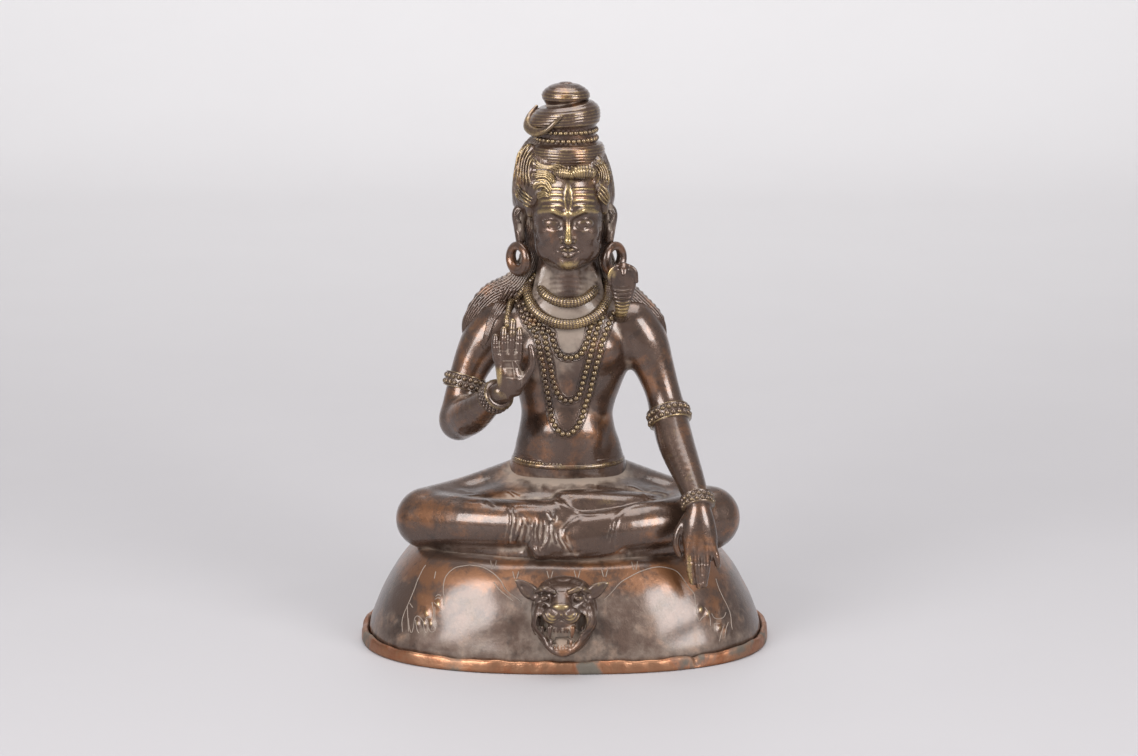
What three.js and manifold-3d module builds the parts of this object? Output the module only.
// A cast copper-alloy figure of Shiva, seated cross-legged on a domed mound that is spread with a
// tiger skin. The mound and the figure are one casting. A copper sheet with a turned-up lip closes
// the casting from below.
// Millimetres, +Z up, the figure faces -Y. The origin is the middle of the underside.

import * as THREE from "three";
import { mergeVertices } from "three/addons/utils/BufferGeometryUtils.js";
import Module from "manifold-3d";

const wasm = await Module();
wasm.setup();

// Base plate: the copper sheet and its lip
const PLATE_WIDTH = 185; // outside the lip, left to right
const PLATE_DEPTH = 126; // outside the lip, front to back
const PLATE_THICKNESS = 1.2;
const LIP_WALL = 2.6;
const LIP_HEIGHT = 6.2; // above the surface that the plate stands on
const LIP_ROUNDING = 1.0;
const PLATE_SIDES = 36;
const PLAN_POWER = 2.45; // 2 is an ellipse, more is squarer

// Mound: the domed foot of the casting
const SEAT_GAP = 0.3; // between the casting and the plate, below and round it
const MOUND_HEIGHT = 48.5; // top of the mound above the surface that the plate stands on
const MOUND_SIDES = 36;
// each ring's size as a share of the foot, and its height as a share of the mound's rise
const MOUND_PROFILE = [
  [0, 0],
  [0.985, 0],
  [0.99, 0.11],
  [0.96, 0.27],
  [0.893, 0.54],
  [0.79, 0.82],
  [0.7, 0.93],
  [0.5, 0.99],
  [0, 1],
];

// Tiger skin: its head hangs on the front of the mound, and low ridges are the edges of the skin
const TIGER_HEIGHT = 29; // jaw to crown
const TIGER_OFFSET = -1.5; // sideways from the middle
const TIGER_JAW = 10; // above the surface that the plate stands on
const SKIN_EDGE = 0.7; // radius of a ridge
const SKIN_PAW = [6, 1.6, 6]; // half-sizes of a paw
// places on the mound's front, as shares of its half-width and of its rise
const SKIN_ARCH = [
  [0.17, 0.48],
  [0.31, 0.77],
  [0.47, 0.85],
  [0.6, 0.7],
  [0.64, 0.39],
];
const SKIN_LEG = [
  [0.73, 0.7],
  [0.76, 0.39],
];
const SKIN_PAW_PLACE = [0.69, 0.29];

// Figure: everything above the mound, drawn once and scaled with its height
const FIGURE_HEIGHT = 208; // seat to crown
const FIGURE_OFFSET = 1.6; // sideways from the middle
const FIGURE_SINK = 3.5; // the seat lies this far below the mound's top

// Stations below are [x, y, z, half-width, half-depth] from the middle of the seat, and a form that
// has a mirror image is written for the viewer's right, +X.
const TORSO = [
  [0, 8, 12, 34, 22],
  [0, 5, 30, 29, 20],
  [0, 3.2, 35.6, 26, 19],
  [0, 3.2, 38, 26, 19],
  [0, 3, 38.6, 24.4, 17.4],
  [0, 3, 42, 24.2, 17.6],
  [0, 3, 48, 21.5, 16.5],
  [0, 3, 58, 19.4, 15.5],
  [0, 3, 67, 21.5, 15.5],
  [0, 3, 76, 25, 16.5],
  [0, 3.5, 87, 29.5, 17],
  [0, 4, 97, 30, 16.5],
  [0, 3, 105, 22, 14.5],
  [0, 1, 112, 13, 12],
  [0, -1, 120, 10.5, 10.5],
  [0, -2, 129, 10.5, 10.5],
];

// Face: thirds from the chin to the hairline, as drawing books give them
const FACE_HEIGHT = 38;
const FACE_THIRD = FACE_HEIGHT / 3;
const CHIN = TORSO.at(-1)[2] - 2; // just below the top of the neck
const EAR_LOBE = CHIN + FACE_THIRD - 2; // the earrings hang from here

// Topknot: [radius, height] from the head up to the crown
const TOPKNOT = [
  [0, 168],
  [15.5, 168],
  [17.2, 172],
  [17.2, 175.6],
  [15.6, 177.6],
  [16.6, 179.4],
  [15.2, 181.6],
  [16, 184],
  [14.2, 186],
  [14.6, 190],
  [13, 195],
  [9, 197.4],
  [9.8, 200],
  [8.4, 203.4],
  [4.4, 207],
  [0, 208],
];

const X_AXIS = new THREE.Vector3(1, 0, 0);
const Z_AXIS = new THREE.Vector3(0, 0, 1);

// A closed geometry as a solid that can be joined and cut.
function solidOf(geometry) {
  const bare = geometry.clone();
  bare.deleteAttribute("normal");
  bare.deleteAttribute("uv");
  const merged = mergeVertices(bare, 1e-4);
  const triangles = [];
  for (let i = 0; i < merged.index.count; i += 3) {
    const [a, b, c] = [0, 1, 2].map((k) => merged.index.getX(i + k));
    if (a !== b && b !== c && c !== a) triangles.push(a, b, c);
  }
  return new wasm.Manifold(
    new wasm.Mesh({
      numProp: 3,
      vertProperties: new Float32Array(merged.attributes.position.array),
      triVerts: new Uint32Array(triangles),
    }),
  );
}

// A solid as a geometry that a mesh can show.
function geometryOf(solid) {
  const mesh = solid.getMesh();
  const geometry = new THREE.BufferGeometry();
  geometry.setAttribute("position", new THREE.BufferAttribute(mesh.vertProperties, 3));
  geometry.setIndex(new THREE.BufferAttribute(mesh.triVerts, 1));
  geometry.computeVertexNormals();
  return geometry;
}

// All the geometries of a list as one solid.
function joined(geometries) {
  return geometries.map(solidOf).reduce((whole, next) => whole.add(next));
}

// Moves every vertex of a geometry by a function that changes the point it is given.
function reshape(geometry, move) {
  const place = geometry.attributes.position;
  const point = new THREE.Vector3();
  for (let i = 0; i < place.count; i++) {
    point.fromBufferAttribute(place, i);
    move(point);
    place.setXYZ(i, point.x, point.y, point.z);
  }
  return geometry;
}

// A capsule bent along stations. The width lies along `side`, and each end is a dome. A band is a
// raised ring [where, half-length, height], with its place and length as shares of the limb.
function limb(stations, { side = X_AXIS, sides = 10, rings = 1, caps = 2, bands = [] } = {}) {
  const centres = new THREE.CatmullRomCurve3(stations.map(([x, y, z]) => new THREE.Vector3(x, y, z)));
  const radii = new THREE.CatmullRomCurve3(stations.map(([, , , w, d = w]) => new THREE.Vector3(w, d, 0)));
  const steps = (stations.length - 1) * rings;
  const even = Array.from({ length: steps + 1 }, (_, k) => k / steps);
  const plain = even.filter((t) => !bands.some(([at, half]) => Math.abs(t - at) < 1.5 * half));
  const edges = bands.flatMap(([at, half]) => [-1, -0.6, 0.6, 1].map((way) => at + way * half));
  const stops = [...plain, ...edges].sort((a, b) => a - b);
  const raised = (t) => bands.find(([at, half]) => Math.abs(t - at) < 0.8 * half)?.[2] ?? 0;
  const capsule = new THREE.CapsuleGeometry(1, 2, caps, sides, stops.length - 1);
  return reshape(capsule, (p) => {
    const straight = THREE.MathUtils.clamp(p.y, -1, 1);
    const t = stops[Math.round(((straight + 1) / 2) * (stops.length - 1))];
    const centre = centres.getPoint(t);
    const radius = radii.getPoint(t).addScalar(raised(t));
    const tangent = centres.getTangent(t);
    const across = side.clone().addScaledVector(tangent, -tangent.dot(side)).normalize();
    const deep = new THREE.Vector3().crossVectors(across, tangent);
    centre.addScaledVector(tangent, (p.y - straight) * Math.min(radius.x, radius.y));
    centre.addScaledVector(across, p.x * radius.x);
    centre.addScaledVector(deep, p.z * radius.y);
    p.copy(centre);
  });
}

// An ellipsoid with three half-sizes.
function lump(centre, size, sides = 10, rings = 6) {
  return new THREE.SphereGeometry(1, sides, rings)
    .rotateX(Math.PI / 2)
    .scale(...size)
    .translate(...centre);
}

// A ring about `axis`.
function hoop(centre, radius, section, axis) {
  const turn = new THREE.Quaternion().setFromUnitVectors(Z_AXIS, new THREE.Vector3(...axis).normalize());
  return new THREE.TorusGeometry(radius, section, 5, 12).applyQuaternion(turn).translate(...centre);
}

// Both a form and its mirror image about the figure's middle plane.
function pair(build) {
  return [-1, 1].map((way) => build(way));
}

// How far the plan's edge is from its middle, in the direction of a unit vector.
function planReach(x, y, halfWidth, halfDepth) {
  const across = Math.abs(x / halfWidth) ** PLAN_POWER;
  const along = Math.abs(y / halfDepth) ** PLAN_POWER;
  return (across + along) ** (-1 / PLAN_POWER);
}

// A lathed form stretched from round to the base's plan. `halves` gives the half-width and the
// half-depth of the ring that was drawn with a radius.
function planForm(profile, sides, halves) {
  const points = profile.map(([radius, height]) => new THREE.Vector2(radius, height));
  const round = new THREE.LatheGeometry(points, sides).rotateX(Math.PI / 2);
  return reshape(round, (p) => {
    const radius = Math.hypot(p.x, p.y);
    if (radius < 1e-6) return;
    const stretch = planReach(p.x / radius, p.y / radius, ...halves(radius)) / radius;
    p.set(p.x * stretch, p.y * stretch, p.z);
  });
}

const footHalfWidth = PLATE_WIDTH / 2 - LIP_WALL - SEAT_GAP;
const footHalfDepth = PLATE_DEPTH / 2 - LIP_WALL - SEAT_GAP;
const footHeight = PLATE_THICKNESS + SEAT_GAP;
const moundRise = MOUND_HEIGHT - footHeight;

// The point of the mound's front at a share of its half-width and a share of its rise.
function onMound(across, up) {
  const ring = Math.max(2, MOUND_PROFILE.findIndex(([, level]) => level >= up));
  const [[share0, level0], [share1, level1]] = [MOUND_PROFILE[ring - 1], MOUND_PROFILE[ring]];
  const share = THREE.MathUtils.mapLinear(up, level0, level1, share0, share1);
  const left = Math.max(share ** PLAN_POWER - Math.abs(across) ** PLAN_POWER, 0);
  const front = -footHalfDepth * left ** (1 / PLAN_POWER);
  return new THREE.Vector3(across * footHalfWidth, front, footHeight + up * moundRise);
}

function mound() {
  const profile = MOUND_PROFILE.map(([share, level]) => [share, footHeight + level * moundRise]);
  return planForm(profile, MOUND_SIDES, (share) => [share * footHalfWidth, share * footHalfDepth]);
}

// The tiger skin: on each side an arch from its head over to the foreleg, the leg and the paw.
function tigerSkin() {
  return pair((way) => {
    const ridge = (places) => {
      const stations = places.map(([across, up]) => [...onMound(way * across, up).toArray(), SKIN_EDGE]);
      return limb(stations, { side: Z_AXIS, sides: 4, caps: 1 });
    };
    const [across, up] = SKIN_PAW_PLACE;
    const paw = lump(onMound(way * across, up).toArray(), SKIN_PAW, 8, 4);
    return [ridge(SKIN_ARCH), ridge(SKIN_LEG), paw];
  }).flat();
}

// The head of the skin, from the middle of its jaw line: a skull, an open mouth and two ears.
function tigerHead() {
  const solid = joined([
    lump([0, 4, 16], [14.6, 13, 11.5], 12, 6),
    lump([0, -3, 13.5], [9.5, 9, 7.5], 10, 4),
    lump([0, 0, 5], [9.5, 10, 5.2], 10, 4),
    lump([0, -11, 16], [3.4, 2.6, 2.4], 6, 4),
    ...pair((way) => lump([way * 3.6, -9.6, 12.8], [4.2, 3.6, 3.6], 6, 4)),
    ...pair((way) => {
      const ear = [[way * 12.5, 6, 22, 4, 2], [way * 17.5, 4, 25.5, 2.6, 1.4]];
      return limb(ear, { sides: 5, caps: 1 });
    }),
  ]);
  const mouth = solidOf(lump([0, -9, 6.6], [6.4, 8, 2.6], 8, 4));
  const fangs = pair((way) => {
    const fang = [[way * 4.4, -9, 9.4, 1.1], [way * 4.2, -9, 6, 0.6]];
    return limb(fang, { sides: 4, caps: 1 });
  });
  return solid.subtract(mouth).add(joined(fangs));
}

// The torso's own surface in front, at a place sideways and a height.
function chest(x, z, lift = 0) {
  const upper = Math.max(1, TORSO.findIndex((s) => s[2] >= z));
  const [below, above] = [TORSO[upper - 1], TORSO[upper]];
  const part = (z - below[2]) / (above[2] - below[2]);
  const [middle, wide, deep] = [1, 3, 4].map((k) => THREE.MathUtils.lerp(below[k], above[k], part));
  const round = Math.sqrt(Math.max(0.05, 1 - (x / wide) ** 2));
  return [x, middle - deep * round - lift, z];
}

function torso() {
  return [
    limb(TORSO, { sides: 14, caps: 1 }),
    ...pair((way) => lump([way * 11.5, -7, 89], [11, 7.6, 8.5], 8, 4)),
  ];
}

// Crossed legs: the shin on the viewer's left ends in the foot that lies on the other calf. The
// bands are the cloth gathered round the ankle, and the hem of the cloth on the other shin.
function legs() {
  const across = { side: Z_AXIS, sides: 10 };
  const thighs = pair((way) => {
    const hip = [way * 12, 9, 20, 19, 18];
    const middle = [[way * 28, 7, 17.6, 15.5, 14.5], [way * 45.5, 2, 15, 13.2, 12.2]];
    const knee = [way * 63.5, -9, 12.8, 13.1, 12.4];
    return limb([hip, ...middle, knee], { ...across, caps: 1 });
  });
  const upperShin = limb(
    [
      [-65.4, -11, 12, 12.8, 12],
      [-45, -24, 13.9, 11.6, 10.6],
      [-24, -31, 15, 11, 10],
      [-8, -32, 16.6, 10, 9],
      [4, -28, 20, 7.5, 7],
    ],
    { ...across, bands: [0.52, 0.62, 0.72].map((at) => [at, 0.03, 0.9]) },
  );
  const lowerShin = limb(
    [
      [64, -10, 12.2, 13.8, 13.2],
      [46, -24, 13.6, 11.4, 10.6],
      [26, -33, 13.4, 10.6, 9.5],
      [6, -36, 11.6, 9.6, 8.5],
      [-12, -33, 9, 8, 8],
    ],
    { ...across, bands: [[0.62, 0.02, 0.8]] },
  );
  const foot = limb(
    [
      [-1, -26, 23, 6.4, 7],
      [8, -27, 23, 6.4, 7.5],
      [24, -24, 22.4, 5.8, 8],
      [36, -19, 22, 5, 7],
      [46, -15, 22, 3, 3.6],
    ],
    { side: Z_AXIS, sides: 8, caps: 1 },
  );
  const lap = lump([0, -2, 13], [48, 31, 20], 12, 6);
  const seat = lump([0, 12, 13], [38, 18, 18], 10, 6);
  return [...thighs, upperShin, lowerShin, foot, lap, seat];
}

// The folds of cloth that hang between the shins.
function drapery() {
  const folds = [
    [[-7, -37, 20, 6, 4], [-9, -41, 11, 6, 4], [-10, -42, 5, 2.6, 3]],
    [[5, -33, 19, 6, 4], [0, -39, 12, 7, 5], [3, -41, 5.5, 5, 4]],
  ];
  return folds.map((stations) => limb(stations, { sides: 6, caps: 1 }));
}

// Each finger is [root, knuckle, tip, radius].
function fingers(list) {
  return list.map(([root, knuckle, tip, radius]) =>
    limb([[...root, radius], [...knuckle, radius * 0.95], [...tip, radius * 0.75]], { sides: 5, caps: 1 }),
  );
}

// The raised arm on the viewer's left, with its armlet and bracelet: its palm faces front.
function raisedArm() {
  const upper = limb(
    [
      [-31, 4, 97, 12, 12],
      [-40.5, 2, 86, 9.4, 9.4],
      [-46.4, -1, 73, 7.6, 7.6],
      [-49, -5, 57, 8.4, 8.4],
    ],
    { sides: 8, caps: 1, bands: [[0.66, 0.05, 1.4]] },
  );
  const fore = limb(
    [
      [-48.8, -6, 56.4, 8.8, 9],
      [-42.4, -17, 62, 8.4, 8.4],
      [-34, -29, 71, 6.2, 6],
      [-29, -36, 76, 5.2, 4.8],
    ],
    { sides: 8, bands: [[0.86, 0.07, 1.5]] },
  );
  const palm = limb(
    [
      [-28, -36, 77, 5.6, 4.4],
      [-26.5, -38, 84, 6.8, 3.8],
      [-26.3, -38.6, 91, 6.6, 2.8],
    ],
    { sides: 8, caps: 1 },
  );
  const digits = fingers([
    [[-31, -38.6, 90], [-31.4, -39.2, 96], [-31, -38.6, 101], 1.9],
    [[-27.8, -38.8, 91], [-27.8, -39.4, 98.5], [-27.5, -38.6, 104.4], 2.0],
    [[-24.4, -38.8, 91], [-24.2, -39.2, 100], [-24, -38.4, 107.4], 2.0],
    [[-21.4, -38.4, 91], [-21.2, -38.4, 98], [-21, -37.8, 103.8], 1.9],
    [[-21, -38.5, 80], [-17.2, -40, 89], [-16.4, -39.5, 98], 2.2],
  ]);
  return [upper, fore, palm, ...digits];
}

// The resting arm on the viewer's right, with its two bands: its hand hangs over the shin.
function restingArm() {
  const upper = limb(
    [
      [29.4, 4, 96.6, 12, 12],
      [36, 2.5, 85, 9.6, 9.6],
      [41.5, 0, 72, 8.2, 8.4],
      [45, -4, 59, 8, 8.2],
    ],
    { sides: 8, caps: 1, bands: [[0.92, 0.06, 1.4]] },
  );
  const fore = limb(
    [
      [45.4, -5, 58, 8.2, 8.2],
      [48.5, -15, 47, 8, 8],
      [53.5, -28, 36, 6.6, 6.4],
      [56.8, -37.5, 28, 5.8, 5.2],
    ],
    { sides: 8, bands: [[0.93, 0.06, 1.7]] },
  );
  const palm = limb(
    [
      [56.9, -39, 26, 5.8, 4.8],
      [57.6, -43.8, 18, 6.8, 4.2],
      [58.3, -46, 9.5, 6.6, 3.2],
    ],
    { sides: 8, caps: 1 },
  );
  const digits = fingers([
    [[54, -46, 9], [53.8, -48, 1.5], [54.6, -48.6, -6.4], 2.0],
    [[57, -46.6, 9], [56.8, -48.8, 1], [57, -49.4, -7.2], 2.0],
    [[60, -46.6, 9], [60, -48.8, 1], [60, -49.2, -6], 2.0],
    [[62.8, -45.6, 9], [63.4, -47, 2.5], [63.6, -47, -3.8], 1.9],
    [[53.4, -42, 18], [51, -44.5, 10], [50.6, -44.8, 3.2], 2.2],
  ]);
  return [upper, fore, palm, ...digits];
}

// The head below the hair. Brow, nose and mouth stand on the thirds of the face.
function head() {
  const nose = CHIN + FACE_THIRD;
  const brow = CHIN + 2 * FACE_THIRD;
  const mouth = CHIN + 0.66 * FACE_THIRD;
  const stations = [
    [0, -11.5, CHIN + 6, 8, 7],
    [0, -7.5, CHIN + 11, 12, 11.8],
    [0, -4, CHIN + 21, 14.6, 15.8],
    [0, -2, CHIN + 31, 15.6, 17.4],
    [0, 0, CHIN + FACE_HEIGHT + 2, 14, 15],
  ];
  const skull = limb(stations, { sides: 10 });
  const [, middle, , , deep] = stations[2];
  const front = middle - deep;
  const ridge = [[0, front + 1, brow - 1, 1.6], [0, front - 1.8, nose + 2, 2.2]];
  const lips = lump([0, front + 1.8, mouth], [4.4, 2.4, 1.9], 6, 4);
  const lids = pair((way) => lump([way * 6, front + 3.4, brow - 4], [3.8, 2.4, 2.2], 6, 4));
  const ears = pair((way) => {
    const ear = [[way * 20 - 0.6, 1, EAR_LOBE + 11, 3, 4.5], [way * 20.6 - 0.8, -1.6, EAR_LOBE, 2.2, 3]];
    return limb(ear, { sides: 6, caps: 1 });
  });
  return [skull, limb(ridge, { sides: 6, caps: 1 }), lips, ...lids, ...ears];
}

// Hair: a cap swept back from the brow, a mantle down the back, and a lock over each shoulder.
function hair() {
  const cap = limb(
    [
      [-1, 6, 139, 18, 11],
      [-1.6, 4, 149, 22, 17],
      [-1.6, 2.5, 159, 22.6, 19.5],
      [-1.6, 2, 168, 20.8, 18.6],
      [-1, 2, 175, 17.4, 16.4],
    ],
    { sides: 14 },
  );
  const brim = pair((way) =>
    limb(
      [
        [way * 1.5, -17.6, 166.5, 2.4],
        [way * 9, -15.5, 165.5, 3],
        [way * 15, -9, 159, 3.2],
        [way * 18.5, -3, 150, 3],
      ],
      { sides: 6, caps: 1 },
    ),
  );
  const mantle = limb(
    [
      [-1, 8, 156, 16, 10],
      [-1, 11, 143, 18, 11],
      [-1, 14, 129, 17, 8.5],
      [-1, 15.5, 115, 22, 7],
      [-1, 17, 101, 27, 6],
      [-1, 17.5, 86, 23, 4],
      [-1, 17, 72, 12, 2.5],
    ],
    { sides: 12, caps: 1 },
  );
  const locks = [
    [
      [-17.5, 5, 145, 4, 5],
      [-18, 6, 132, 5, 5],
      [-22, 7, 119, 6.5, 6],
      [-33, 8, 107, 6.5, 5.5],
      [-42, 7, 99, 4.6, 5],
      [-44.4, 7, 92, 3, 4],
    ],
    [
      [16, 5, 145, 4, 5],
      [17, 6, 132, 5, 5],
      [20, 7, 119, 6, 6],
      [29, 8, 107, 6, 5.5],
      [36.4, 7, 99, 4.6, 5],
      [39.4, 7, 92, 3, 4],
    ],
  ].map((stations) => limb(stations, { sides: 8, caps: 1 }));
  return [cap, ...brim, mantle, ...locks];
}

// The coiled topknot with its two strings of beads, and the crescent moon on the viewer's left.
function topknot() {
  const tiers = TOPKNOT.map(([radius, height]) => new THREE.Vector2(radius, height));
  const knot = new THREE.LatheGeometry(tiers, 14).rotateX(Math.PI / 2).translate(-1, 2, 0);
  const crescent = limb(
    [
      [-8.5, -11.5, 190, 0.8],
      [-13, -8.5, 184.8, 2.2],
      [-16.6, -2, 184, 3],
      [-16.2, 4, 189.5, 2.2],
      [-12.5, 8, 195, 0.8],
    ],
    { sides: 6, caps: 1 },
  );
  return [knot, crescent];
}

// A curve that hangs across the chest, from one side of the neck round the front to the other.
function garland({ spread, front, depth, low, rise }, radius) {
  const stations = [];
  for (let turn = -100; turn <= 100; turn += 25) {
    const angle = THREE.MathUtils.degToRad(turn);
    const back = 1 - Math.cos(angle);
    stations.push([spread * Math.sin(angle), front + depth * back, low + rise * back, radius]);
  }
  return limb(stations, { side: Z_AXIS, sides: 6, caps: 1 });
}

// The serpent: two coils about the neck, the hood on the viewer's right and the tail on the left.
function serpent() {
  const hood = [
    [24, -3, 102, 3.4, 3],
    [24.6, -10, 109.5, 3.8, 2.6],
    [24.2, -14, 119, 6.2, 2.4],
    [23.6, -17, 128, 4.8, 2.4],
  ];
  const tail = [
    [-13, -4, 125, 2.2],
    [-20.5, -4, 115, 2],
    [-24.4, -5, 107, 1.7],
    [-25.6, -6.4, 99, 1.4],
  ];
  return [
    garland({ spread: 16, front: -12.4, depth: 12, low: 114.6, rise: 5 }, 2.2),
    garland({ spread: 20, front: -13.4, depth: 13, low: 103.2, rise: 13 }, 2.4),
    limb(hood, { sides: 8, caps: 1 }),
    limb(tail, { sides: 5, caps: 1 }),
  ];
}

// Strings of beads, each from its lowest point up one side in [x, z], mirrored about the middle.
function necklaces() {
  const strings = [
    [[0, 87.6], [4, 88.4], [7.6, 91.6], [10, 97], [12.5, 104]],
    [[0, 66.2], [3.6, 67], [6.6, 70.5], [9, 78], [12, 90], [17, 103]],
    [[0, 50.6], [4, 51.6], [7.4, 55.4], [10.4, 64], [13, 80], [20.5, 102]],
  ];
  return strings.map((half) => {
    const other = half.slice(1).reverse().map(([x, z]) => [-x, z]);
    const stations = [...other, ...half].map(([x, z]) => [...chest(x, z, 1), 1.3]);
    return limb(stations, { side: Z_AXIS, sides: 4, caps: 1 });
  });
}

function earrings() {
  return pair((way) => hoop([way * 21.2 - 0.8, -3, EAR_LOBE - 8], 5.6, 2.3, [way * 0.77, -0.64, 0]));
}

// Everything above the mound, set on its top.
function figure() {
  const body = [torso, legs, drapery, raisedArm, restingArm, head, hair, topknot];
  const forms = [...body, serpent, necklaces, earrings];
  const [, crown] = TOPKNOT.at(-1);
  const scale = FIGURE_HEIGHT / crown;
  return joined(forms.flatMap((form) => form()))
    .scale([scale, scale, scale])
    .translate([FIGURE_OFFSET, 0, MOUND_HEIGHT - FIGURE_SINK]);
}

// The whole casting.
function casting() {
  const middle = TIGER_JAW + TIGER_HEIGHT / 2 - footHeight;
  const place = onMound(TIGER_OFFSET / footHalfWidth, middle / moundRise);
  const head = tigerHead();
  const { max, min } = head.boundingBox();
  const scale = TIGER_HEIGHT / (max[2] - min[2]);
  const tiger = head
    .scale([scale, scale, scale])
    .translate([TIGER_OFFSET, place.y, TIGER_JAW]);
  return joined([mound(), ...tigerSkin()]).add(tiger).add(figure());
}

// The copper sheet and the lip that is turned up round the mound's foot.
function basePlate() {
  const half = PLATE_WIDTH / 2;
  const difference = (PLATE_WIDTH - PLATE_DEPTH) / 2;
  const profile = [
    [0, 0],
    [half - LIP_ROUNDING, 0],
    [half, LIP_ROUNDING],
    [half, LIP_HEIGHT - LIP_ROUNDING],
    [half - LIP_ROUNDING, LIP_HEIGHT],
    [half - LIP_WALL, LIP_HEIGHT],
    [half - LIP_WALL, PLATE_THICKNESS],
    [0, PLATE_THICKNESS],
  ];
  return planForm(profile, PLATE_SIDES, (radius) => [radius, radius - difference]);
}

// A mesh named for its piece, in the colour, roughness and metalness of its metal.
function piece(name, geometry, color, roughness, metalness) {
  const mesh = new THREE.Mesh(geometry, new THREE.MeshStandardMaterial({ color, roughness, metalness }));
  mesh.name = name;
  return mesh;
}

const shiva = new THREE.Group();
shiva.add(piece("figure", geometryOf(casting()), 0x5a4434, 0.36, 0.9));
shiva.add(piece("base_plate", geometryOf(solidOf(basePlate())), 0xb0683f, 0.42, 0.9));

export default shiva;
